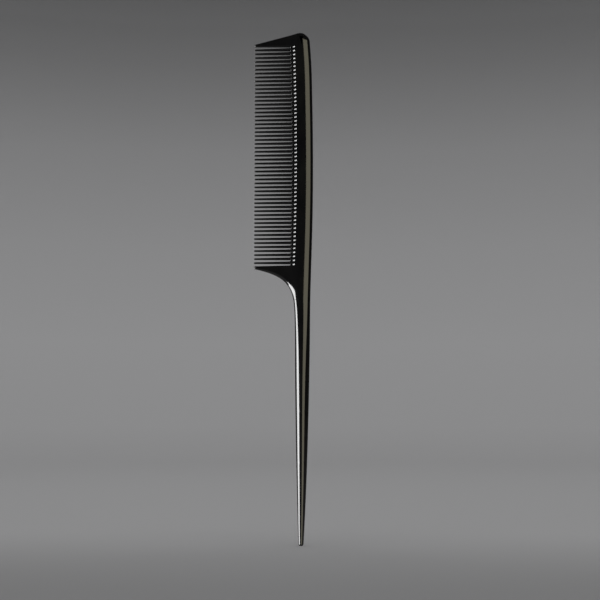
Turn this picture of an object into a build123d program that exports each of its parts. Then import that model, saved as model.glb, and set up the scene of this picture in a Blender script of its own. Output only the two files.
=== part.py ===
from build123d import *
import math
import os

# A rat tail comb, in millimetres. The origin is the tip of the tail, +Z runs up along the
# comb, the teeth point to -X, the back of the comb is on +X, and its two faces look to
# -Y and +Y. The comb is symmetric about its mid-plane, y = 0.

# Head: the plate that carries the teeth
tooth_count = 55
pitch = 1.75
first_gap_z = 119.23
last_gap_z = first_gap_z + tooth_count * pitch
tooth_tip_x = -20.35
root_x_at_ends = -4.75
root_arc_rise = 0.75
head_half_thickness = 2.1
root_half_thickness = 1.43
tip_half_thickness = 0.62
taper_start_x = -1.4
taper_ease_x = -2.0
taper_root_x = -4.6
taper_end_x = -7.0

# Gaps between teeth: widest at the tips and on the faces, narrowest at the root
gap_at_root = 0.5
gap_at_tip = 1.12
groove_web_half = 0.95
groove_ledge = 1.1
groove_flare = 0.15
tooth_shoulder = (0.82, 0.62)
tooth_crest = 0.4
tooth_blunt_length = 0.5
tooth_blunt_share = 0.62

# Outline of the head and neck
plate_bottom = (-2.62, 93.0)
neck_curve_low = (-2.4, 109.0)
neck_curve_high = (-4.7, 114.0)
lower_guard_tip_z = 117.4
upper_guard_tip_z = 217.3
top_edge_end = (-0.95, 221.9)
corner_middle = (2.55, 220.8)
corner_end = (3.86, 218.2)
guard_tip_round = 0.35
tail_top_z = 104.0
spine_bottom_z = 118.6
spine_top_z = 216.2

# Edge rounding
back_crown_width = 3.6
crown_overlap = 0.03
rim_round = 0.6
rim_end_x = 0.5
rim_face_y = 0.3
shortest_neck_rim = 2.0
shortest_top_rim = 0.3

# How far the blanks and cutters reach, past the comb on every side
reach_x = 30.0
reach_y = 10.0
beyond_back_x = 8.0
above_top_z = 240.0
between_guards_z = 150.0
cutter_overlap = 0.5
groove_lead = 0.3

# Tail: height, left edge, back edge and half thickness of each cross-section
tail_stations = [
    (0.0, -1.05, 1.05, 1.05),
    (4.0, -1.20, 1.28, 1.22),
    (20.0, -1.62, 2.07, 1.85),
    (40.0, -2.07, 2.80, 2.43),
    (60.0, -2.38, 3.33, 2.84),
    (72.0, -2.50, 3.60, 2.86),
    (82.0, -2.54, 3.78, 2.70),
    (90.0, -2.58, 3.88, 2.42),
    (96.0, -2.68, 3.93, 2.23),
    (100.0, -2.84, 3.97, 2.14),
    (104.0, -3.20, 4.03, 2.10),
]
crown_turn = 15.0
tail_tip_round = 0.7

# Back edge of the head, from the neck up to the top corner
back_points = [
    (3.91, 93.0),
    (4.03, 104.0),
    (4.34, 115.0),
    (4.92, 134.0),
    (5.28, 165.0),
    (5.05, 189.0),
    (4.49, 209.7),
    corner_end,
]
back_end = (3.56, 223.0)

os.makedirs("parts", exist_ok=True)


def root_x(z):
    """Where the gap between two teeth ends on the mid-plane: a gentle arc along the head."""
    half_span = (last_gap_z - first_gap_z) / 2
    middle = (last_gap_z + first_gap_z) / 2
    return root_x_at_ends + root_arc_rise * (1 - ((z - middle) / half_span) ** 2)


def face_height(x):
    """Half thickness of a tooth, which thins evenly from its root to its tip."""
    share = (x - tooth_tip_x) / (taper_root_x - tooth_tip_x)
    return tip_half_thickness + (root_half_thickness - tip_half_thickness) * share


def gap_width(x, z):
    """Width of a gap on the mid-plane at x, for the gap at height z."""
    share = (x - tooth_tip_x) / (root_x(z) - tooth_tip_x)
    return gap_at_tip + (gap_at_root - gap_at_tip) * share


def side_point(x, z):
    return Vector(x, 0, z)


def oval_section(z, left, back, half_thickness):
    """A four-centre oval across the tail: two round noses joined by two crowned faces."""
    centre = (left + back) / 2
    half_width = (back - left) / 2
    turn = math.radians(crown_turn)
    offset = (half_width - half_thickness) / (math.sin(turn) + math.cos(turn) - 1)
    nose = half_width - offset * math.sin(turn)
    shoulder_x = offset * math.sin(turn) + nose * math.sin(turn)
    shoulder_y = nose * math.cos(turn)
    corners = [
        Vector(centre + shoulder_x, -shoulder_y, z),
        Vector(centre + shoulder_x, shoulder_y, z),
        Vector(centre - shoulder_x, shoulder_y, z),
        Vector(centre - shoulder_x, -shoulder_y, z),
    ]
    middles = [
        Vector(back, 0, z),
        Vector(centre, half_thickness, z),
        Vector(left, 0, z),
        Vector(centre, -half_thickness, z),
    ]
    arcs = []
    for i in range(4):
        arcs.append(ThreePointArc(corners[i], middles[i], corners[(i + 1) % 4]))
    return Wire(arcs)


def make_tail():
    """The round tail, which flattens as it runs up into the neck."""
    tail = Solid.make_loft([oval_section(*station) for station in tail_stations])
    foot = tail.faces().sort_by(Axis.Z)[0].edges()
    return fillet(foot, tail_tip_round)


def head_outline():
    """The outline of spine, guards and neck with no teeth, left open past the back."""
    low_root_z = first_gap_z - gap_at_root / 2
    high_root_z = last_gap_z + gap_at_root / 2
    low_guard_top_z = first_gap_z - gap_at_tip / 2
    high_guard_bottom_z = last_gap_z + gap_at_tip / 2
    tip_in_x = tooth_tip_x + guard_tip_round
    middle_z = (low_root_z + high_root_z) / 2
    low_root = side_point(root_x(low_root_z), low_root_z)
    high_root = side_point(root_x(high_root_z), high_root_z)
    low_tip = side_point(tip_in_x, lower_guard_tip_z)
    low_tip_top = side_point(tip_in_x, low_guard_top_z)
    high_tip = side_point(tip_in_x, high_guard_bottom_z)
    high_tip_top = side_point(tip_in_x, upper_guard_tip_z)
    low_tip_middle = side_point(tooth_tip_x, (lower_guard_tip_z + low_guard_top_z) / 2)
    high_tip_middle = side_point(tooth_tip_x, (high_guard_bottom_z + upper_guard_tip_z) / 2)
    edges = [
        Bezier(
            side_point(*plate_bottom),
            side_point(*neck_curve_low),
            side_point(*neck_curve_high),
            low_tip,
        ),
        ThreePointArc(low_tip, low_tip_middle, low_tip_top),
        Line(low_tip_top, low_root),
        ThreePointArc(low_root, side_point(root_x(middle_z), middle_z), high_root),
        Line(high_root, high_tip),
        ThreePointArc(high_tip, high_tip_middle, high_tip_top),
        Line(high_tip_top, side_point(*top_edge_end)),
        ThreePointArc(
            side_point(*top_edge_end),
            side_point(*corner_middle),
            side_point(*corner_end),
        ),
        Line(side_point(*corner_end), side_point(beyond_back_x, corner_end[1])),
        Line(
            side_point(beyond_back_x, corner_end[1]),
            side_point(beyond_back_x, plate_bottom[1]),
        ),
        Line(side_point(beyond_back_x, plate_bottom[1]), side_point(*plate_bottom)),
    ]
    return Face(Wire(edges))


def face_curve(side):
    """The line of one face across the head: flat, then a smooth fall to the line of the teeth."""
    half = side * head_half_thickness
    end_half = side * face_height(taper_end_x)
    outer_x = tooth_tip_x - cutter_overlap
    outer_half = side * face_height(outer_x)
    return [
        Line((beyond_back_x, half), (taper_start_x, half)),
        Bezier(
            (taper_start_x, half),
            (taper_ease_x, half),
            (taper_root_x, side * root_half_thickness),
            (taper_end_x, end_half),
        ),
        Line((taper_end_x, end_half), (outer_x, outer_half)),
    ]


def plate_space():
    """The space between the two faces, from below the neck to above the corner."""
    low_z = plate_bottom[1] - cutter_overlap
    height = above_top_z - low_z
    near = face_curve(-1)
    far = face_curve(1)
    edges = near + [Line(near[-1] @ 1, far[-1] @ 1)]
    edges += far[::-1] + [Line(far[0] @ 0, near[0] @ 0)]
    section = Pos(0, 0, low_z) * Face(Wire(edges))
    return extrude(section, amount=height, dir=(0, 0, 1))


def gap_groove(z, side):
    """The tool for one groove in one face of the spine: a ledge over the web, then a ramp."""
    depth = head_half_thickness + cutter_overlap
    start = root_x(z) - groove_lead
    ledge_end = root_x(z) + groove_ledge
    ramp_end = ledge_end + depth - groove_web_half
    narrow = gap_at_root / 2 + groove_flare * groove_web_half
    wide = gap_at_root / 2 + groove_flare * depth
    bottom = [(start, narrow), (start, -narrow), (ledge_end, -narrow), (ledge_end, narrow)]
    top = [(start, wide), (start, -wide), (ramp_end, -wide), (ramp_end, wide)]
    rings = [
        Wire.make_polygon([Vector(x, side * groove_web_half, z + w) for x, w in bottom]),
        Wire.make_polygon([Vector(x, side * depth, z + w) for x, w in top]),
    ]
    return Solid.make_loft(rings, ruled=True)


def tooth_ring(x, lean, z, width, height):
    """A ten-sided ring across a tooth; lean tilts it to follow the arc of the roots."""
    quarter = [(1, 0), tooth_shoulder, (tooth_crest, 1)]
    half = quarter + [(-w, y) for w, y in reversed(quarter)]
    ring = half + [(-w, -y) for w, y in half[1:-1]]
    points = []
    for w, y in ring:
        up = w * width / 2
        points.append(Vector(x + lean * up, y * height, z + up))
    return Wire.make_polygon(points)


def make_tooth(index):
    """One fine tooth, counted from the tail end: a tapered lens with a blunt tip."""
    z = first_gap_z + (index + 0.5) * pitch
    root = root_x(z)
    lean = (root_x(z + pitch / 2) - root_x(z - pitch / 2)) / pitch
    blunt_x = tooth_tip_x + tooth_blunt_length
    tip_width = (pitch - gap_width(tooth_tip_x, z)) * tooth_blunt_share
    tip_height = face_height(tooth_tip_x) * tooth_blunt_share
    blunt_width = pitch - gap_width(blunt_x, z)
    rings = [
        tooth_ring(root, lean, z, pitch - gap_at_root, face_height(root)),
        tooth_ring(blunt_x, 0, z, blunt_width, face_height(blunt_x)),
        tooth_ring(tooth_tip_x, 0, z, tip_width, tip_height),
    ]
    return Solid.make_loft(rings, ruled=True)


def back_space():
    """The space inside the rounded back edge, which follows the outline of the back."""
    turn = math.radians(crown_turn)
    half_thickness = head_half_thickness + crown_overlap
    offset = (back_crown_width - half_thickness) / (math.sin(turn) + math.cos(turn) - 1)
    nose = back_crown_width - offset * math.sin(turn)
    sections = []
    for x, z in back_points + [back_end]:
        flat_x = x - back_crown_width
        shoulder_x = flat_x + (offset + nose) * math.sin(turn)
        shoulder_y = nose * math.cos(turn)
        crown_x = flat_x + (offset + nose) * math.sin(turn / 2)
        crown_y = half_thickness - (offset + nose) * (1 - math.cos(turn / 2))
        flat = Vector(flat_x, -half_thickness, z)
        shoulder = Vector(shoulder_x, -shoulder_y, z)
        far_shoulder = Vector(shoulder_x, shoulder_y, z)
        far_flat = Vector(flat_x, half_thickness, z)
        far_corner = Vector(-reach_x, half_thickness, z)
        corner = Vector(-reach_x, -half_thickness, z)
        sections.append(
            Wire(
                [
                    Line(corner, flat),
                    ThreePointArc(flat, Vector(crown_x, -crown_y, z), shoulder),
                    ThreePointArc(shoulder, Vector(x, 0, z), far_shoulder),
                    ThreePointArc(far_shoulder, Vector(crown_x, crown_y, z), far_flat),
                    Line(far_flat, far_corner),
                    Line(far_corner, corner),
                ]
            )
        )
    return Solid.make_loft(sections)


def is_rim(edge):
    """True for the sharp edges of the neck curve and of the top edge."""
    centre = edge.center()
    on_face = abs(centre.Y) > rim_face_y
    is_curve = edge.geom_type != GeomType.LINE
    on_neck = centre.Z < spine_bottom_z and is_curve and edge.length > shortest_neck_rim
    on_top = centre.Z > upper_guard_tip_z and centre.X < rim_end_x
    return on_face and (on_neck or (on_top and edge.length > shortest_top_rim))


def make_plate():
    """Spine, guards and neck in one blank, before the grooves and the splits."""
    flat = Pos(0, -reach_y, 0) * head_outline()
    blank = extrude(flat, amount=2 * reach_y, dir=(0, 1, 0)) & plate_space() & back_space()
    blank = fillet([edge for edge in blank.edges() if is_rim(edge)], rim_round)
    grooves = []
    for i in range(tooth_count + 1):
        for side in (-1, 1):
            grooves.append(gap_groove(first_gap_z + i * pitch, side))
    return blank - grooves


def block(low_x, high_x, low_z, high_z):
    """A block through the whole thickness, to split the plate with."""
    middle = Pos((low_x + high_x) / 2, 0, (low_z + high_z) / 2)
    return middle * Box(high_x - low_x, 2 * reach_y, high_z - low_z)


def save(shape, name):
    solids = shape.solids()
    print(name, "solids", len(solids), "volume", round(shape.volume, 2))
    export_step(Compound(solids) if len(solids) > 1 else solids[0], f"parts/{name}.step")


plate = make_plate()
spine_space = block(root_x_at_ends, reach_x, spine_bottom_z, spine_top_z)
guards = plate - spine_space
save(make_tail(), "tail")
save(guards & block(-reach_x, reach_x, tail_top_z, between_guards_z), "neck_guard")
save(guards & block(-reach_x, reach_x, between_guards_z, above_top_z), "end_guard")
save(plate & spine_space, "spine")
for index in range(tooth_count):
    save(make_tooth(index), f"tooth_{index + 1:02d}")
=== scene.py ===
import math

import bpy
import numpy as np
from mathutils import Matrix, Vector


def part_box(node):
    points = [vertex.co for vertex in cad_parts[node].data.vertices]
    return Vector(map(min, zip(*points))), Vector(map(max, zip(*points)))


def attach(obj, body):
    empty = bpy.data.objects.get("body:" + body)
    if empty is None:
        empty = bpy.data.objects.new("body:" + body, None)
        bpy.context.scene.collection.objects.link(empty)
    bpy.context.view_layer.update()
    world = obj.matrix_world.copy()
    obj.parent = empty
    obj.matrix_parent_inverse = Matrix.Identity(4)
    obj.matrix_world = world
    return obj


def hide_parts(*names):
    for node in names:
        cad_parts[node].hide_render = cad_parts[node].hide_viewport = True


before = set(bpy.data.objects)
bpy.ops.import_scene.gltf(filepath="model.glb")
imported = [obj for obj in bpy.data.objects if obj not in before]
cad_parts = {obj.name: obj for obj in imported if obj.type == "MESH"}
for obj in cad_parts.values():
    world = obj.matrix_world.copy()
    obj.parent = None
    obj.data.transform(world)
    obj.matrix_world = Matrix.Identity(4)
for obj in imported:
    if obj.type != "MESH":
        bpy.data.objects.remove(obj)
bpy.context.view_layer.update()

# A glossy black rat tail comb in a pale studio bowl. The comb's lengths are in millimetres, in the
# frame's own axes, and turn into metres when a mesh is made. X runs from the tooth tips to the
# back edge, Y from the near face to the far face, and Z from the tail's tip to the top. The
# stage, the lights and the camera are in metres.
MM = 0.001


def mm_box(node):
    """Lowest and highest corners of a CAD node, in millimetres."""
    low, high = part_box(node)
    return np.array(low) / MM, np.array(high) / MM


# Ends that the CAD nodes give
tooth_names = sorted(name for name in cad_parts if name.startswith("tooth_"))
TOOTH_COUNT = len(tooth_names)
TIP_X = mm_box("tooth_01")[0][0]
TAIL_TOP_Z = mm_box("tail")[1][2]
SPINE_BOTTOM_Z = mm_box("spine")[0][2]
SPINE_TOP_Z = mm_box("spine")[1][2]

# The row of teeth: one gap before the first tooth and one after each, wider towards the tips
PITCH = 1.75
FIRST_GAP_Z = 119.23
LAST_GAP_Z = FIRST_GAP_Z + TOOTH_COUNT * PITCH
ROOT_X_AT_ENDS = -4.75
ROOT_ARC_RISE = 0.75
GAP_AT_ROOT = 0.5
GAP_AT_TIP = 0.99
HALF_GAP = GAP_AT_ROOT / 2

# Rounded flanks: how deep they reach into a tooth, and the power of their superellipse
TOOTH_FLANK = PITCH / 2 - HALF_GAP
GUARD_FLANK = 0.32
TOOTH_POWER = 2.2

# Half thickness of the head, and the curve by which it thins from the spine to the tips
HEAD_HALF = 2.1
ROOT_HALF = 1.43
TIP_HALF = 0.62
TAPER_START_X = -1.4
TAPER_EASE_X = -2.0
TAPER_ROOT_X = -4.6
TAPER_END_X = -7.0

# Grooves in the spine's faces: a web with a rounded end, a nearly level ledge and a 45 degree
# ramp, between walls that stand straighter further from the teeth
GROOVE_WEB_HALF = 1.15
GROOVE_LEDGE = 1.27
GROOVE_LEDGE_SLOPE = 0.1
GROOVE_END_SLOPE = 3.0
GROOVE_END_ROUNDING = 0.5
GROOVE_BEND = 0.2
GROOVE_LIP = 0.25
GROOVE_CORNER = 0.1
GROOVE_WALL_STIFFENING = 3

# Domed tips of the teeth: how far each dome reaches, and the share of the tip left flat
TOOTH_TIP_DOME = 0.32
LOWER_TIP_DOME = 0.28
UPPER_TIP_DOME = 0.6
TIP_FLAT = 0.3
GUARD_FLAT = 0.45
DOME_TILTS = np.radians([15, 30, 45, 58, 70, 80, 87])

# The neck's concave edge, as a Bezier curve from inside the tail to the lower guard's tip. Over
# the lowest stretches of the neck the head's taper comes in (NECK_BLEND high) and the rim turns
# from crowned to oval (NECK_ROUNDING high).
NECK_CURVE = np.array([(-2.62, 93.0), (-2.4, 109.0), (-4.7, 114.0), (-19.85, 117.4)])
NECK_BLEND = 5.5
NECK_ROUNDING = 3.5

# Shares of that curve: where the rim has shrunk from the crown's width to the plate's thickness,
# and where the guard tooth starts. A rim takes at most NECK_RIM_SHARE of a row across the neck.
NECK_RIM_FALL = 0.42
GUARD_START = 0.56
NECK_RIM_SHARE = 0.8

# The back's rounded edge: its width, and the tilt at which its tight nose meets its crown
BACK_CROWN = 3.6
CROWN_TURN = math.radians(15.0)

# The top edge, and the round corner where its rim grows into the back's, below CORNER_TOP_Z
UPPER_GUARD_TIP_Z = 217.3
TOP_EDGE_END = np.array((-0.95, 221.9))
TOP_RIM = 0.7
CORNER_CENTRE = np.array((-0.36, 217.6))
CORNER_RADIUS = 4.33
CORNER_TOP_Z = 221.8
CORNER_BLEND = 1.5

# Mesh points across a face, between its rim and its far end
MIDDLE_COUNT = 7

# Height, left edge, back edge and half thickness of the tail's cross-sections
TAIL_STATIONS = np.array([
    (0.0, -1.05, 1.05, 1.05),
    (4.0, -1.20, 1.28, 1.22),
    (20.0, -1.62, 2.07, 1.85),
    (40.0, -2.07, 2.80, 2.43),
    (60.0, -2.38, 3.33, 2.83),
    (72.0, -2.50, 3.60, 2.85),
    (82.0, -2.54, 3.78, 2.70),
    (90.0, -2.58, 3.88, 2.42),
    (96.0, -2.68, 3.93, 2.23),
    (100.0, -2.84, 3.97, 2.14),
    (104.0, -3.20, 4.03, 2.10),
])

# The tail's domed tip: its height, and the share of its width left flat
TAIL_TIP_ROUND = 0.75
TAIL_TIP_FLAT = 0.35

# Height and place of points on the back edge
BACK_STATIONS = np.array([
    (90.0, 3.88),
    (104.0, 4.03),
    (115.0, 4.34),
    (134.0, 4.92),
    (150.0, 5.21),
    (165.0, 5.28),
    (189.0, 5.05),
    (209.7, 4.49),
    (218.2, 3.90),
])


# ---------------------------------------------------------------- curves and heights

def smooth_curve(knots, values, at):
    """A cubic through (knot, value) pairs, with slopes taken from the neighbours."""
    knots, values, at = (np.asarray(part, float) for part in (knots, values, at))
    slopes = np.gradient(values, knots, edge_order=2)
    i = np.clip(np.searchsorted(knots, at) - 1, 0, len(knots) - 2)
    step = knots[i + 1] - knots[i]
    t = (at - knots[i]) / step
    rise = slopes[i] * step * (t - 2 * t**2 + t**3) + slopes[i + 1] * step * (t**3 - t**2)
    return values[i] * (1 - 3 * t**2 + 2 * t**3) + values[i + 1] * (3 * t**2 - 2 * t**3) + rise


def smooth_share(share):
    """Eases a share between 0 and 1 in and out, and holds it beyond them."""
    share = np.clip(share, 0, 1)
    return share * share * (3 - 2 * share)


def soft_min(a, b, width):
    """The lower of a and b, rounded over width where they meet."""
    share = np.clip(0.5 + 0.5 * (b - a) / width, 0, 1)
    return b * (1 - share) + a * share - width * share * (1 - share)


def soft_max(a, b, width):
    """The higher of a and b, rounded over width where they meet."""
    return -soft_min(-a, -b, width)


def root_x(z):
    """Where the gaps between the teeth end on the mid-plane."""
    half_span = (LAST_GAP_Z - FIRST_GAP_Z) / 2
    middle = (LAST_GAP_Z + FIRST_GAP_Z) / 2
    return ROOT_X_AT_ENDS + ROOT_ARC_RISE * (1 - ((np.asarray(z) - middle) / half_span) ** 2)


def back_x(z):
    """Where the back edge lies at height z."""
    return smooth_curve(BACK_STATIONS[:, 0], BACK_STATIONS[:, 1], z)


def bezier(points, t):
    """Points on a cubic Bezier curve with four control points."""
    t = np.asarray(t)[:, None]
    a, b, c, d = (np.asarray(point) for point in points)
    return (1 - t)**3 * a + 3 * (1 - t)**2 * t * b + 3 * (1 - t) * t**2 * c + t**3 * d


def tooth_line(x):
    """Half thickness along the straight part of the teeth."""
    return ROOT_HALF + (TIP_HALF - ROOT_HALF) * (x - TAPER_ROOT_X) / (TIP_X - TAPER_ROOT_X)


TAPER_CURVE = bezier([(TAPER_START_X, HEAD_HALF), (TAPER_EASE_X, HEAD_HALF),
                      (TAPER_ROOT_X, ROOT_HALF), (TAPER_END_X, tooth_line(TAPER_END_X))],
                     np.linspace(0, 1, 400))


def face_height(x):
    """Half thickness of the head: flat over the spine, thinner from there to the tips."""
    x = np.asarray(x, float)
    eased = np.interp(-x, -TAPER_CURVE[:, 0], TAPER_CURVE[:, 1])
    return np.where(x < TAPER_END_X, tooth_line(x), eased)


def plate_height(x, z):
    """Half thickness of the end guard, which is the same at every height."""
    return face_height(x)


def neck_height(x, z):
    """Half thickness over the neck, where the head's taper comes in bit by bit."""
    share = smooth_share((np.asarray(z, float) - TAIL_TOP_Z) / NECK_BLEND)
    return HEAD_HALF + (face_height(x) - HEAD_HALF) * share


def gap_half(x, z):
    """Half the width of the gap at height z, on the mid-plane at x."""
    share = (np.asarray(x) - TIP_X) / (root_x(z) - TIP_X)
    return (GAP_AT_TIP + (GAP_AT_ROOT - GAP_AT_TIP) * share) / 2


def flank_height(past_edge, half_width, height, power=TOOTH_POWER):
    """Half thickness of a tooth at a distance past its edge on the mid-plane."""
    share = np.clip(1 - past_edge / half_width, 0, 1)
    return height * (1 - share**power) ** (1 / power)


def flank_steps(count):
    """Shares of a flank, from its edge to its crest, that turn by equal angles."""
    return 1 - np.cos(np.linspace(0, math.pi / 2, count)) ** (2 / TOOTH_POWER)


def rim(width, height, roundness=0.0, nose_count=10, crown_count=5):
    """Distances in from an outline, and half thicknesses there, of a rounded rim.

    A rim wider than it is high is a tight nose and a nearly flat crown, and roundness blends it
    towards an ellipse. A narrower one is always an ellipse.
    """
    turn = np.linspace(0, math.pi / 2, nose_count + crown_count)
    oval_inward = width * (1 - np.cos(turn))
    oval_thick = height * np.sin(turn)
    if width < height:
        return oval_inward, oval_thick
    offset = (width - height) / (math.sin(CROWN_TURN) + math.cos(CROWN_TURN) - 1)
    nose = width - offset * math.sin(CROWN_TURN)
    crown = nose + offset
    nose_tilt = np.linspace(math.pi / 2, CROWN_TURN, nose_count)
    crown_tilt = np.linspace(CROWN_TURN, 0, crown_count + 1)[1:]
    inward = np.concatenate([nose * (1 - np.sin(nose_tilt)), width - crown * np.sin(crown_tilt)])
    thick = np.concatenate([nose * np.cos(nose_tilt), height - crown * (1 - np.cos(crown_tilt))])
    inward += (oval_inward - inward) * roundness
    thick += (oval_thick - thick) * roundness
    return inward, thick


# ---------------------------------------------------------------- meshes from patches

# Points nearer to each other than WELD become one. Lengths, areas and distances from the
# mid-plane below the others count as nothing.
WELD = 2e-4
NO_LENGTH = 1e-12
NO_AREA = 1e-9
ON_MIDDLE = 1e-6


class Shell:
    """A closed mesh made of smooth patches, each a grid of points, and flat caps.

    The comb is alike on both sides of its mid-plane, so a patch or a cap is given for the near
    side and mirrored.
    """

    def __init__(self):
        self.points = []
        self.faces = []
        self.normals = []
        self.count = 0

    def patch(self, grid, outward, mirror=True):
        """Adds a grid of points; outward is roughly the direction that its surface faces."""
        grid = np.asarray(grid, float)
        along = np.gradient(grid, axis=0)
        across = np.gradient(grid, axis=1)
        normals = np.cross(along, across)
        length = np.linalg.norm(normals, axis=2, keepdims=True)
        normals = normals / np.maximum(length, NO_LENGTH)
        if mirror:
            on_middle = np.abs(grid[..., 1]) < ON_MIDDLE
            normals[on_middle, 1] = 0
            size = np.linalg.norm(normals[on_middle], axis=1, keepdims=True)
            normals[on_middle] /= np.maximum(size, NO_LENGTH)
        total = normals.reshape(-1, 3)[length.reshape(-1) > NO_AREA].sum(axis=0)
        flip = total @ np.asarray(outward, float) < 0
        facing = -normals if flip else normals
        self.add_quads(grid, facing, flip)
        if mirror:
            self.add_quads(grid * (1, -1, 1), facing * (1, -1, 1), not flip)

    def add_quads(self, grid, normals, flip):
        """Adds a grid's quads, turned over where flip says so, with a normal at each corner."""
        rows, columns = grid.shape[:2]
        index = np.arange(rows * columns).reshape(rows, columns) + self.count
        quads = np.stack([index[:-1, :-1], index[1:, :-1], index[1:, 1:], index[:-1, 1:]], axis=-1)
        if flip:
            quads = quads[..., ::-1]
        flat = normals.reshape(-1, 3)
        for quad in quads.reshape(-1, 4):
            self.faces.append(quad)
            self.normals.append(flat[quad - self.count])
        self.points.append(grid.reshape(-1, 3))
        self.count += rows * columns

    def cap(self, half_ring, outward):
        """Adds a flat face over half a ring of points and its mirror image."""
        half_ring = np.asarray(half_ring, float)
        far_half = (half_ring * (1, -1, 1))[::-1]
        ring = np.concatenate([half_ring, far_half])
        outward = np.asarray(outward, float)
        area = np.cross(ring, np.roll(ring, -1, axis=0)).sum(axis=0)
        if area @ outward < 0:
            ring = ring[::-1]
        self.faces.append(np.arange(len(ring)) + self.count)
        self.normals.append(np.tile(outward / np.linalg.norm(outward), (len(ring), 1)))
        self.points.append(ring)
        self.count += len(ring)

    def build(self, name, material):
        """Welds the patches and caps into one object, and keeps their own smooth normals."""
        points = np.concatenate(self.points)
        keys = np.round(points / WELD).astype(np.int64)
        _, first, inverse = np.unique(keys, axis=0, return_index=True, return_inverse=True)
        inverse = inverse.reshape(-1)
        faces = []
        loop_normals = []
        for face, normals in zip(self.faces, self.normals):
            ids = inverse[face]
            keep = [k for k in range(len(ids)) if ids[k] != ids[k - 1]]
            if len(set(ids[keep])) < 3:
                continue
            faces.append([int(ids[k]) for k in keep])
            loop_normals.extend(Vector(normals[k]) for k in keep)
        mesh = bpy.data.meshes.new(name)
        mesh.from_pydata((points[first] * MM).tolist(), [], faces)
        mesh.polygons.foreach_set("use_smooth", [True] * len(mesh.polygons))
        # A zero vector leaves a corner the mesh's own normal
        no_normal = Vector((0, 0, 0))
        fixed = [n if n.length > 0.5 else no_normal for n in loop_normals]
        mesh.normals_split_custom_set(fixed)
        mesh.materials.append(material)
        piece = bpy.data.objects.new(name, mesh)
        bpy.context.scene.collection.objects.link(piece)
        return piece


# ---------------------------------------------------------------- the comb's pieces

def oval_ring(z, left, back, half_thickness):
    """The front half of the tail's cross-section, from its left edge to its back edge."""
    half_width = (back - left) / 2
    inward, thick = rim(half_width, half_thickness)
    x = np.concatenate([left + inward, back - inward[-2::-1]])
    y = -np.concatenate([thick, thick[-2::-1]])
    return np.stack([x, y, np.full(len(x), z)], axis=1)


def make_tail(material):
    """The round tail, with its blunt domed tip."""
    slim_top = 20
    slim_heights = np.linspace(TAIL_TIP_ROUND, slim_top, 24)
    heights = np.concatenate([slim_heights, np.linspace(slim_top + 2, TAIL_TOP_Z, 62)])
    station_z = TAIL_STATIONS[:, 0]
    sizes = [smooth_curve(station_z, TAIL_STATIONS[:, k], heights) for k in (1, 2, 3)]
    rings = [oval_ring(z, *(size[k] for size in sizes)) for k, z in enumerate(heights)]
    first = rings[0]
    centre = (first[0] + first[-1]) / 2
    dome = []
    for tilt in np.radians([88, 78, 66, 54, 42, 30, 20, 10]):
        share = TAIL_TIP_FLAT + (1 - TAIL_TIP_FLAT) * math.cos(tilt)
        ring = centre + (first - centre) * (share, share, 1)
        ring[:, 2] = TAIL_TIP_ROUND * (1 - math.sin(tilt))
        dome.append(ring)
    dome[0][:, 2] = 0
    grid = np.array(dome + rings)
    shell = Shell()
    shell.patch(grid, (0, -1, 0))
    shell.cap(grid[0], (0, 0, -1))
    shell.cap(grid[-1], (0, 0, 1))
    return shell.build("comb_tail", material)


def back_rim(z):
    """Points from the start of the crown round to the back edge, at one height."""
    inward, thick = rim(BACK_CROWN, HEAD_HALF)
    x = float(back_x(z)) - inward[::-1]
    return np.stack([x, -thick[::-1], np.full(len(x), z)], axis=1)


def gap_columns():
    """Heights of the spine's mesh columns, how far each is past a gap's edge, and its flank."""
    middle = np.array([0.0, 0.5, 0.9]) * HALF_GAP
    rows = []
    for gap in range(TOOTH_COUNT + 1):
        gap_z = FIRST_GAP_Z + gap * PITCH
        for side in (-1, 1):
            is_guard = (gap, side) in ((0, -1), (TOOTH_COUNT, 1))
            flank = GUARD_FLANK if is_guard else TOOTH_FLANK
            inside = [(gap_z + side * step, step - HALF_GAP, flank) for step in middle]
            past = flank_steps(8) * flank
            rows += inside + [(gap_z + side * (HALF_GAP + step), step, flank) for step in past]
    rows += [(SPINE_BOTTOM_Z, GUARD_FLANK, GUARD_FLANK), (SPINE_TOP_Z, GUARD_FLANK, GUARD_FLANK)]
    rows = np.array(sorted(rows))
    is_new = np.concatenate([[True], np.diff(rows[:, 0]) > WELD / 2])
    return rows[is_new].T


def groove_height(x, past_root, past_edge, flank):
    """Half thickness of the spine by a gap: a web, a ledge and a ramp between two walls.

    The corners where they meet are sharp at the root and rounder further on.
    """
    face = face_height(x)
    wall = flank_height(past_edge, flank, face, TOOTH_POWER + GROOVE_WALL_STIFFENING * past_root)
    end = GROOVE_END_SLOPE * math.sqrt(past_root**2 + GROOVE_END_ROUNDING * past_root)
    ledge = GROOVE_WEB_HALF + GROOVE_LEDGE_SLOPE * past_root
    ramp = GROOVE_WEB_HALF + past_root - GROOVE_LEDGE
    end_corner = GROOVE_CORNER * min(1, end) + 0.001
    wall_corner = GROOVE_CORNER * min(1, past_root / 0.3) + 0.02
    floor = soft_min(end, soft_max(ledge, ramp, GROOVE_BEND), end_corner)
    floor = soft_min(np.maximum(floor, 0), face, GROOVE_LIP)
    return np.minimum(soft_max(floor, wall, wall_corner), face)


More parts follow.
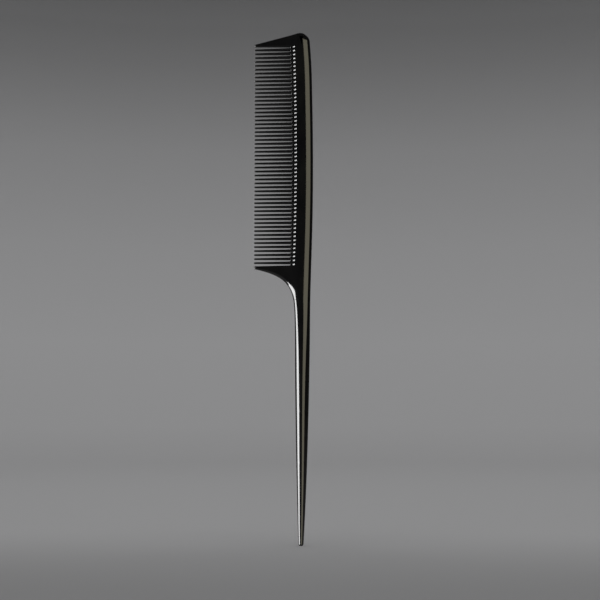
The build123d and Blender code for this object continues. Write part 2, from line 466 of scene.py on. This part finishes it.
def make_spine(material):
    """The back of the comb: rows run up the comb, from the tooth roots to the back edge."""
    z, past_edge, flank = gap_columns()
    root = root_x(z)
    end_steps = [0, 0.01, 0.03, 0.07, 0.13, 0.19, 0.24, 0.29, 0.4, 0.6, 0.85]
    ramp_steps = [1.05, 1.16, 1.26, 1.36, 1.48, 1.6, 1.72, 1.82, 1.92, 2.0, 2.1, 2.2, 2.35, 2.5]
    rows = []
    for past in end_steps + ramp_steps:
        x = root + past
        rows.append(np.stack([x, -groove_height(x, past, past_edge, flank), z], axis=1))
    crown_start = back_x(z) - BACK_CROWN
    last_x = rows[-1][:, 0]
    for share in (0.15, 0.3, 0.5, 0.75):
        x = last_x + (crown_start - last_x) * share
        rows.append(np.stack([x, -face_height(x), z], axis=1))
    inward, thick = rim(BACK_CROWN, HEAD_HALF)
    for distance, height in zip(inward[::-1], thick[::-1]):
        x = back_x(z) - distance
        y = -np.minimum(height, face_height(x))
        rows.append(np.stack([x, y, z], axis=1))
    grid = np.array(rows)
    shell = Shell()
    shell.patch(grid, (0, -1, 0))
    edge = grid[0]
    shell.patch(np.array([edge, edge * (1, -1, 1)]), (-1, 0, 0), mirror=False)
    shell.cap(grid[:, 0], (0, 0, -1))
    shell.cap(grid[:, -1], (0, 0, 1))
    return shell.build("comb_spine", material)


def tooth_ring(x, z, half_width, height, lean):
    """The front half of a tooth's cross-section, from its lower edge to its upper edge.

    The lean tilts it to lie along the arc of the roots.
    """
    steps = flank_steps(10)
    up = np.concatenate([steps - 1, 1 - steps[-2::-1]]) * half_width
    thick = flank_height(half_width - np.abs(up), half_width, height)
    return np.stack([x + lean * up, -thick, z + up], axis=1)


def make_tooth(name, index, material):
    """A fine tooth: a lens that thins and narrows towards a domed tip."""
    z = FIRST_GAP_Z + (index + 0.5) * PITCH
    root = float(root_x(z))
    lean = float(root_x(z + 0.5) - root_x(z - 0.5))
    rings = []
    for share in np.linspace(0, 1, 16):
        x = root + (TIP_X + TOOTH_TIP_DOME - root) * share
        half_width = PITCH / 2 - float(gap_half(x, z))
        rings.append(tooth_ring(x, z, half_width, float(face_height(x)), lean * (1 - share)))
    full = rings[-1]
    centre = np.array((0, 0, z))
    reach = full[0, 0] - TIP_X
    for tilt in DOME_TILTS:
        share = TIP_FLAT + (1 - TIP_FLAT) * math.cos(tilt)
        ring = centre + (full - centre) * (1, share, share)
        ring[:, 0] = full[0, 0] - reach * math.sin(tilt)
        rings.append(ring)
    rings[-1][:, 0] = TIP_X
    shell = Shell()
    shell.patch(np.array(rings), (0, -1, 0))
    shell.cap(rings[0], (1, 0, 0))
    shell.cap(rings[-1], (-1, 0, 0))
    return shell.build("comb_" + name, material)


def walk(line, distances):
    """Points at given distances along a line of points."""
    steps = np.linalg.norm(np.diff(line, axis=0), axis=1)
    travelled = np.concatenate([[0], np.cumsum(steps)])
    return np.stack([np.interp(distances, travelled, line[:, k]) for k in (0, 1)], axis=1)


def length_of(line):
    """How long a line of points is."""
    return np.linalg.norm(np.diff(line, axis=0), axis=1).sum()


def outline_row(start, inward_direction, end, width, height_at, roundness=0.0):
    """Points from an outline, over a rim of a given width and on across the face to an end."""
    inside = start + inward_direction * width
    inside_height = float(height_at(*inside))
    inward, thick = rim(width, inside_height, roundness)
    edge = start + np.outer(inward, inward_direction)
    shares = np.linspace(0, 1, MIDDLE_COUNT + 1)[1:, None]
    middle = edge[-1] + (np.asarray(end) - edge[-1]) * shares
    x = np.concatenate([edge[:, 0], middle[:, 0]])
    z = np.concatenate([edge[:, 1], middle[:, 1]])
    scale = height_at(x, z) / inside_height
    y = -np.concatenate([thick, np.full(MIDDLE_COUNT, thick[-1])]) * scale
    return np.stack([x, y, z], axis=1)


def guard_flank(x, gap_z, side):
    """A guard tooth's flank beside its gap, from its crest down to the mid-plane edge."""
    past = flank_steps(10)[::-1] * GUARD_FLANK
    edge = gap_z + side * float(gap_half(x, gap_z))
    thick = flank_height(past, GUARD_FLANK, float(face_height(x)))
    return np.stack([np.full(len(past), x), -thick, edge + side * past], axis=1)


def make_neck_guard(material):
    """The neck and the lower guard tooth: rows run from the concave edge across the face.

    Over the neck they end on the start of the spine's crown, then on the spine's lower end, and
    over the guard tooth on its flank beside the first gap.
    """
    curve = bezier(NECK_CURVE, np.linspace(0, 1, 2001))
    curve = curve[(curve[:, 1] >= TAIL_TOP_Z) & (curve[:, 0] >= TIP_X + LOWER_TIP_DOME)]
    curve[0, 1] = TAIL_TOP_Z
    total = length_of(curve)
    crown_z = np.linspace(TAIL_TOP_Z, SPINE_BOTTOM_Z, 60)
    crown_line = np.stack([back_x(crown_z) - BACK_CROWN, crown_z], axis=1)
    corner_x = crown_line[-1, 0]
    wall_x = ROOT_X_AT_ENDS

    def rim_width(end, travelled):
        start = walk(curve, [travelled])[0]
        blend = float(smooth_share(travelled / total / NECK_RIM_FALL))
        width = BACK_CROWN + (float(neck_height(*start)) - BACK_CROWN) * blend
        return min(width, NECK_RIM_SHARE * np.linalg.norm(np.asarray(end) - start))

    def curve_row(end, travelled):
        nearby = 0.01
        before, spot, after = walk(curve, [travelled - nearby, travelled, travelled + nearby])
        forward = (after - before) / np.linalg.norm(after - before)
        inward = np.array([forward[1], -forward[0]])
        roundness = float(smooth_share((spot[1] - TAIL_TOP_Z) / NECK_ROUNDING))
        width = rim_width(end, travelled)
        return outline_row(spot, inward, end, width, neck_height, roundness)

    # The neck, whose rows pair stretches of the curve with stretches of the crown's line
    curve_knots = np.array([0, 0.10, 0.20, 0.31, 0.42]) * total
    crown_knots = np.array([0, 0.28, 0.6, 0.86, 1.0]) * length_of(crown_line)
    neck_travel = curve_knots[-1]
    shell = Shell()
    neck_rows = []
    back_rows = []
    for travelled in np.linspace(0, 1, 40) * neck_travel:
        end = walk(crown_line, [np.interp(travelled, curve_knots, crown_knots)])[0]
        neck_rows.append(curve_row(end, travelled))
        back_row = back_rim(end[1])
        back_row[0] = neck_rows[-1][-1]
        back_rows.append(back_row)
    shell.patch(neck_rows, (0, -1, 0))
    shell.patch(back_rows, (0, -1, 0))
    shell.cap(np.concatenate([neck_rows[0], back_rows[0][1:]]), (0, 0, -1))

    # The plate below the spine
    wall_travel = GUARD_START * total
    plate_rows = []
    for share in np.linspace(0, 1, 12):
        travelled = neck_travel + (wall_travel - neck_travel) * share
        end = np.array((corner_x + (wall_x - corner_x) * share, SPINE_BOTTOM_Z))
        plate_rows.append(curve_row(end, travelled))
    shell.patch(plate_rows, (0, -1, 0))
    top_edge = np.array([row[-1] for row in plate_rows])
    shell.cap(np.concatenate([back_rows[-1][::-1], top_edge[1:]]), (0, 0, 1))

    # The guard tooth
    step = FIRST_GAP_Z - HALF_GAP - GUARD_FLANK - SPINE_BOTTOM_Z
    guard_rows = []
    flank_rows = []
    for share in np.concatenate([np.linspace(0, 0.94, 22), [0.965, 0.985, 1.0]]):
        travelled = wall_travel + (total - wall_travel) * share
        x = wall_x + (TIP_X + LOWER_TIP_DOME - wall_x) * share
        flank = guard_flank(x, FIRST_GAP_Z, -1)
        row = curve_row(flank[0, [0, 2]] - (0, step), travelled)
        guard_rows.append(np.concatenate([row, flank[:1]]))
        flank_rows.append(flank)
    face, flank = round_guard_tip(guard_rows, flank_rows)
    shell.patch(face, (0, -1, 0))
    shell.patch(flank, (0, 0, 1))
    shell.cap(np.concatenate([top_edge[-1:], flank[0]]), (1, 0, 0))
    shell.cap(np.concatenate([face[-1], flank[-1][1:]]), (-1, 0, 0))
    return shell.build("comb_neck_guard", material)


def round_guard_tip(face_rows, flank_rows):
    """The rows of a guard tooth's face and flank, with those of its rounded tip added."""
    face = list(face_rows)
    flank = list(flank_rows)
    last_face = face[-1]
    last_flank = flank[-1]
    low = min(last_face[:, 2].min(), last_flank[:, 2].min())
    high = max(last_face[:, 2].max(), last_flank[:, 2].max())
    centre = np.array((last_flank[-1, 0], 0, (low + high) / 2))
    reach = last_flank[-1, 0] - TIP_X
    for tilt in DOME_TILTS:
        thin = TIP_FLAT + (1 - TIP_FLAT) * math.cos(tilt)
        narrow = GUARD_FLAT + (1 - GUARD_FLAT) * math.cos(tilt)
        for rows, last in ((face, last_face), (flank, last_flank)):
            row = centre + (last - centre) * (1, thin, narrow)
            row[:, 0] = centre[0] - reach * math.sin(tilt) + (last[:, 0] - centre[0]) * thin
            rows.append(row)
    return np.array(face), np.array(flank)


def make_end_guard(material):
    """The upper guard tooth, the sloping top edge and the round corner of the comb."""
    tip = np.array((TIP_X + UPPER_TIP_DOME, UPPER_GUARD_TIP_Z))
    direction = (TOP_EDGE_END - tip) / np.linalg.norm(TOP_EDGE_END - tip)
    inward = np.array((direction[1], -direction[0]))
    crown_x = float(back_x(SPINE_TOP_Z)) - BACK_CROWN
    pivot = np.array((crown_x, SPINE_TOP_Z))
    wall_x = ROOT_X_AT_ENDS

    def top_row(x, end):
        # The rim stays inside half the row, and narrower than the plate is thick
        start = tip + direction * (x - tip[0]) / direction[0]
        room = 0.5 * np.linalg.norm(np.asarray(end) - start)
        width = min(TOP_RIM, 0.9 * float(face_height(x)), room)
        return outline_row(start, inward, end, width, plate_height)

    # The guard tooth
    step = SPINE_TOP_Z - LAST_GAP_Z - HALF_GAP - GUARD_FLANK
    shell = Shell()
    guard_rows = []
    flank_rows = []
    for share in np.concatenate([[0, 0.015, 0.035], np.linspace(0.06, 1, 22)])[::-1]:
        x = tip[0] + (wall_x - tip[0]) * share
        flank = guard_flank(x, LAST_GAP_Z, 1)
        row = top_row(x, flank[0, [0, 2]] + (0, step))
        guard_rows.append(np.concatenate([row, flank[:1]]))
        flank_rows.append(flank)
    face, flank = round_guard_tip(guard_rows, flank_rows)
    shell.patch(face, (0, -1, 0))
    shell.patch(flank, (0, 0, -1))
    shell.cap(np.concatenate([face[-1], flank[-1][1:]]), (-1, 0, 0))

    # The plate above the spine
    plate_rows = []
    for share in np.linspace(0, 1, 14):
        x = wall_x + (TOP_EDGE_END[0] - wall_x) * share
        end = np.array((wall_x + (crown_x - wall_x) * share, SPINE_TOP_Z))
        plate_rows.append(top_row(x, end))
    bottom_edge = np.array([row[-1] for row in plate_rows])
    shell.cap(np.concatenate([bottom_edge[:1], flank[0]]), (1, 0, 0))

    # The corner: rows fan out from a pivot, and the rim grows from the top's to the back's
    corner_line = corner_outline()
    spots = walk(corner_line, np.linspace(0, length_of(corner_line), 41))
    fan_rows = []
    for k in range(1, len(spots)):
        spot = spots[k]
        forward = spots[min(k + 1, len(spots) - 1)] - spots[k - 1]
        forward = forward / np.linalg.norm(forward)
        square_in = np.array((forward[1], -forward[0]))
        share = float(smooth_share((CORNER_TOP_Z - spot[1]) / CORNER_BLEND))
        width = TOP_RIM * (1 - share) + BACK_CROWN * share
        width = min(width, np.linalg.norm(pivot - spot))
        turn_in = square_in * (1 - share) + np.array((-1, 0)) * share
        turn_in = turn_in / np.linalg.norm(turn_in)
        fan_rows.append(outline_row(spot, turn_in, pivot, width, plate_height))
    shell.patch(plate_rows + fan_rows, (0, -1, 0))
    shell.cap(np.concatenate([bottom_edge[:-1], fan_rows[-1][::-1]]), (0, 0, -1))
    return shell.build("comb_end_guard", material)


def corner_outline():
    """The outline from the end of the top edge round the corner and down the back."""
    arc_end_z = BACK_STATIONS[-1, 0]
    first = math.atan2(TOP_EDGE_END[1] - CORNER_CENTRE[1], TOP_EDGE_END[0] - CORNER_CENTRE[0])
    last = math.asin((arc_end_z - CORNER_CENTRE[1]) / CORNER_RADIUS)
    angles = np.linspace(first, last, 60)
    arc = CORNER_CENTRE + CORNER_RADIUS * np.stack([np.cos(angles), np.sin(angles)], axis=1)
    heights = np.linspace(arc_end_z, SPINE_TOP_Z, 20)[1:]
    side = np.stack([back_x(heights), heights], axis=1)
    return np.concatenate([arc, side])


# ---------------------------------------------------------------- materials

def add_node(tree, kind, **values):
    """A node with some of its inputs set by name, where an underscore stands for a space."""
    node = tree.nodes.new(kind)
    for key, value in values.items():
        node.inputs[key.replace("_", " ")].default_value = value
    return node


def combine(tree, operation, first, second):
    """A math node over two inputs, each a number or another node's output."""
    node = tree.nodes.new("ShaderNodeMath")
    node.operation = operation
    for socket, value in zip(node.inputs, (first, second)):
        if isinstance(value, float):
            socket.default_value = value
        else:
            tree.links.new(value, socket)
    return node.outputs[0]


def span(tree, value, low, high, at_low, at_high):
    """Maps a value from low..high onto at_low..at_high, and holds it beyond them."""
    node = add_node(tree, "ShaderNodeMapRange", From_Min=low, From_Max=high,
                    To_Min=at_low, To_Max=at_high)
    tree.links.new(value, node.inputs["Value"])
    return node.outputs["Result"]


def add_ramp(tree, stops):
    """A colour ramp through (position, colour) stops."""
    node = tree.nodes.new("ShaderNodeValToRGB")
    elements = node.color_ramp.elements
    while len(elements) < len(stops):
        elements.new(0.5)
    for element, (position, color) in zip(elements, stops):
        element.position = position
        element.color = (*color, 1)
    return node


def noise(tree, place, scale, detail, stretch=(1, 1, 1)):
    """Noise over the comb's own axes; scale counts features per metre."""
    stretched = add_node(tree, "ShaderNodeMapping", Scale=stretch)
    tree.links.new(place, stretched.inputs["Vector"])
    node = add_node(tree, "ShaderNodeTexNoise", Scale=scale, Detail=detail)
    tree.links.new(stretched.outputs["Vector"], node.inputs["Vector"])
    return node.outputs["Fac"]


def carbon_plastic(name, polish, scratch_stretch):
    """Black carbon-filled plastic: moulded gloss, fine grain, hairline scratches, smudges.

    Polish sets the lowest roughness. The scratches run along the axis with the least stretch.
    """
    material = bpy.data.materials.new(name)
    material.use_nodes = True
    tree = material.node_tree
    shader = tree.nodes["Principled BSDF"]
    shader.inputs["IOR"].default_value = 1.5
    place = tree.nodes.new("ShaderNodeTexCoord").outputs["Object"]
    split = tree.nodes.new("ShaderNodeSeparateXYZ")
    tree.links.new(place, split.inputs["Vector"])

    # Fine grain, broad smudges, thin scratches where a noise peaks, the parting line on the
    # mid-plane, and the last millimetre of the teeth, which wears paler
    grain = noise(tree, place, 4200.0, 3.0)
    smudge = noise(tree, place, 110.0, 4.0, (1.6, 1.6, 0.7))
    scratch = noise(tree, place, 5200.0, 2.0, scratch_stretch)
    hairline = span(tree, scratch, 0.62, 0.68, 0.0, 1.0)
    off_seam = combine(tree, "ABSOLUTE", split.outputs["Y"], 0.0)
    seam = span(tree, off_seam, 0.02 * MM, 0.06 * MM, 1.0, 0.0)
    worn_from = (TIP_X + 1.15) * MM
    worn_to = (TIP_X - 0.05) * MM
    worn_tip = span(tree, split.outputs["X"], worn_to, worn_from, 1.0, 0.0)
    pale = combine(tree, "ADD", seam, worn_tip)

    tint = add_ramp(tree, [(0.3, (0.0008, 0.0008, 0.001)), (0.75, (0.0024, 0.0023, 0.0022))])
    tree.links.new(smudge, tint.inputs["Fac"])
    dust = tree.nodes.new("ShaderNodeMixRGB")
    dust.inputs["Color2"].default_value = (0.02, 0.02, 0.019, 1)
    tree.links.new(tint.outputs["Color"], dust.inputs["Color1"])
    tree.links.new(span(tree, pale, 0.0, 1.0, 0.0, 0.35), dust.inputs["Fac"])
    tree.links.new(dust.outputs["Color"], shader.inputs["Base Color"])

    rough = span(tree, smudge, 0.35, 0.7, polish, polish + 0.045)
    rough = combine(tree, "ADD", rough, span(tree, grain, 0.3, 0.7, -0.01, 0.015))
    rough = combine(tree, "ADD", rough, span(tree, hairline, 0.0, 1.0, 0.0, 0.05))
    rough = combine(tree, "ADD", rough, span(tree, pale, 0.0, 1.0, 0.0, 0.12))
    tree.links.new(rough, shader.inputs["Roughness"])

    height = span(tree, grain, 0.0, 1.0, 0.0, 0.5)
    height = combine(tree, "SUBTRACT", height, span(tree, hairline, 0.0, 1.0, 0.0, 0.4))
    height = combine(tree, "ADD", height, span(tree, seam, 0.0, 1.0, 0.0, 3.0))
    bump = add_node(tree, "ShaderNodeBump", Strength=0.5, Distance=0.0025 * MM)
    tree.links.new(height, bump.inputs["Height"])
    tree.links.new(bump.outputs["Normal"], shader.inputs["Normal"])
    return material


body_plastic = carbon_plastic("body_plastic", 0.065, (1.0, 1.0, 0.04))
tooth_plastic = carbon_plastic("tooth_plastic", 0.075, (0.05, 1.0, 1.0))
comb_pieces = []
body_makers = {
    "tail": make_tail,
    "spine": make_spine,
    "neck_guard": make_neck_guard,
    "end_guard": make_end_guard,
}
for node, make in body_makers.items():
    piece = make(body_plastic)
    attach(piece, "root")
    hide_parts(node)
    comb_pieces.append(piece)
for index, node in enumerate(tooth_names):
    piece = make_tooth(node, index, tooth_plastic)
    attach(piece, "root")
    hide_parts(node)
    comb_pieces.append(piece)


# ---------------------------------------------------------------- stage, light and camera

def studio_paint_with_painted_shade():
    """Matt pale paint with painted shade: palest on the lower wall, darker higher up and on the
    floor in front, where light falling off would leave it dimmer.
    """
    paint = bpy.data.materials.new("studio_paint_with_painted_shade")
    paint.use_nodes = True
    tree = paint.node_tree
    shader = tree.nodes["Principled BSDF"]
    shader.inputs["Roughness"].default_value = 0.9
    shader.inputs["Specular IOR Level"].default_value = 0.1
    place = tree.nodes.new("ShaderNodeTexCoord").outputs["Object"]
    split = tree.nodes.new("ShaderNodeSeparateXYZ")
    tree.links.new(place, split.inputs["Vector"])
    # Painted shade: the grey falls with height up the wall, in place of light falling off there
    greys = [(0.0, 0.80), (0.05, 0.87), (0.2, 0.90), (0.4, 0.83), (0.62, 0.69), (0.82, 0.47),
             (1.0, 0.31)]
    shade = add_ramp(tree, [(height, (grey, grey, grey * 1.01)) for height, grey in greys])
    tree.links.new(split.outputs["Z"], shade.inputs["Fac"])
    # Painted shade: the floor darkens towards the camera, in place of light falling off in front
    front = add_node(tree, "ShaderNodeMapRange", From_Min=-0.17, From_Max=0.08,
                     To_Min=0.68, To_Max=1.0)
    front.interpolation_type = "SMOOTHSTEP"
    tree.links.new(split.outputs["Y"], front.inputs["Value"])
    painted_falloff = tree.nodes.new("ShaderNodeMixRGB")
    painted_falloff.blend_type = "MULTIPLY"
    painted_falloff.inputs["Fac"].default_value = 1.0
    tree.links.new(shade.outputs["Color"], painted_falloff.inputs["Color1"])
    tree.links.new(front.outputs["Result"], painted_falloff.inputs["Color2"])
    tree.links.new(painted_falloff.outputs["Color"], shader.inputs["Base Color"])
    return paint


def make_bowl():
    """A pale floor that curves up into a wall all round."""
    floor_radius = 1.1
    bend = 0.9
    wall_top = 3.2
    floor_rings = 6
    bend_rings = 16
    turns = 96
    profile = [(floor_radius * k / floor_rings, 0.0) for k in range(1, floor_rings + 1)]
    for k in range(1, bend_rings + 1):
        angle = math.pi / 2 * k / bend_rings
        profile.append((floor_radius + bend * math.sin(angle), bend * (1 - math.cos(angle))))
    profile.append((floor_radius + bend, wall_top))
    vertices = [(0, 0, 0)]
    for radius, height in profile:
        for k in range(turns):
            angle = 2 * math.pi * k / turns
            vertices.append((radius * math.cos(angle), radius * math.sin(angle), height))
    faces = [(0, 1 + k, 1 + (k + 1) % turns) for k in range(turns)]
    for ring in range(len(profile) - 1):
        base = 1 + ring * turns
        for k in range(turns):
            after = (k + 1) % turns
            faces.append((base + k, base + turns + k, base + turns + after, base + after))
    mesh = bpy.data.meshes.new("studio_bowl")
    mesh.from_pydata(vertices, [], faces)
    mesh.polygons.foreach_set("use_smooth", [True] * len(mesh.polygons))
    mesh.materials.append(studio_paint_with_painted_shade())
    bowl = bpy.data.objects.new("studio_bowl", mesh)
    bpy.context.scene.collection.objects.link(bowl)
    bowl.visible_glossy = False
    bowl.visible_shadow = False
    return bowl


def light_group(name, members):
    """A collection that lights can be limited to."""
    group = bpy.data.collections.new(name)
    for member in members:
        group.objects.link(member)
    return group


def soft_light(name, place, aim, size, radiance, color, group):
    """A rectangular softbox of a given radiance that lights only the objects of one group."""
    width, height = size
    data = bpy.data.lights.new(name, "AREA")
    data.shape = "RECTANGLE"
    data.size = width
    data.size_y = height
    data.energy = radiance * width * height * math.pi
    data.color = color
    light = bpy.data.objects.new(name, data)
    bpy.context.scene.collection.objects.link(light)
    light.location = place
    light.rotation_euler = (Vector(aim) - Vector(place)).to_track_quat("-Z", "Y").to_euler()
    light.visible_camera = False
    light.light_linking.receiver_collection = group


def upright_light(name, azimuths, heights, radiance, color, group, distance=0.9):
    """A vertical softbox that covers a range of angles round the comb.

    Angles are counted in degrees from the front, towards the back edge of the comb.
    """
    middle = math.radians(sum(azimuths) / 2)
    half_angle = math.radians(abs(azimuths[1] - azimuths[0]) / 2)
    middle_height = sum(heights) / 2
    place = (distance * math.sin(middle), -distance * math.cos(middle), middle_height)
    size = (2 * distance * math.tan(half_angle), heights[1] - heights[0])
    soft_light(name, place, (0, 0, middle_height), size, radiance, color, group)


comb = light_group("comb_pieces", comb_pieces)
stage = light_group("stage_pieces", [make_bowl()])

WHITE = (1, 1, 1)
WARM = (1, 0.93, 0.7)
LEFT_HEIGHTS = (-0.37, 0.55)
RIGHT_HEIGHTS = (-0.3, 0.6)
upright_light("left_key", (-50, -86), LEFT_HEIGHTS, 18.0, WHITE, comb)
upright_light("left_fade", (-86, -98), LEFT_HEIGHTS, 8.0, WHITE, comb)
upright_light("right_warm", (7, 47), RIGHT_HEIGHTS, 2.3, WARM, comb)
soft_light("overhead", (0, 0, 2.6), (0, 0, 0), (2.4, 2.4), 1.17, WHITE, stage)


def make_world():
    """Dark above the horizon and paler below it, as a studio is over a pale table."""
    world = bpy.data.worlds.new("studio_world")
    bpy.context.scene.world = world
    world.use_nodes = True
    tree = world.node_tree
    place = tree.nodes.new("ShaderNodeTexCoord").outputs["Generated"]
    split = tree.nodes.new("ShaderNodeSeparateXYZ")
    tree.links.new(place, split.inputs["Vector"])
    ramp = add_ramp(tree, [(0.25, (0.25, 0.25, 0.25)), (0.52, (0.045, 0.045, 0.045))])
    ramp.color_ramp.interpolation = "EASE"
    tree.links.new(span(tree, split.outputs["Z"], -0.5, 0.5, 0.0, 1.0), ramp.inputs["Fac"])
    tree.links.new(ramp.outputs["Color"], tree.nodes["Background"].inputs["Color"])


make_world()

# The camera stands half a metre in front, a little to the right, and looks slightly up
CAMERA_PLACE = (0.02627, -0.51228, 0.04982)
CAMERA_PITCH = math.radians(6.03)
CAMERA_TURN = math.radians(2.98)
camera_data = bpy.data.cameras.new("camera")
camera_data.lens = 72
camera_data.sensor_width = 36
camera = bpy.data.objects.new("camera", camera_data)
bpy.context.scene.collection.objects.link(camera)
camera.location = CAMERA_PLACE
camera.rotation_euler = (math.pi / 2 + CAMERA_PITCH, 0, CAMERA_TURN)
bpy.context.scene.camera = camera
bpy.context.scene.view_settings.view_transform = "Standard"
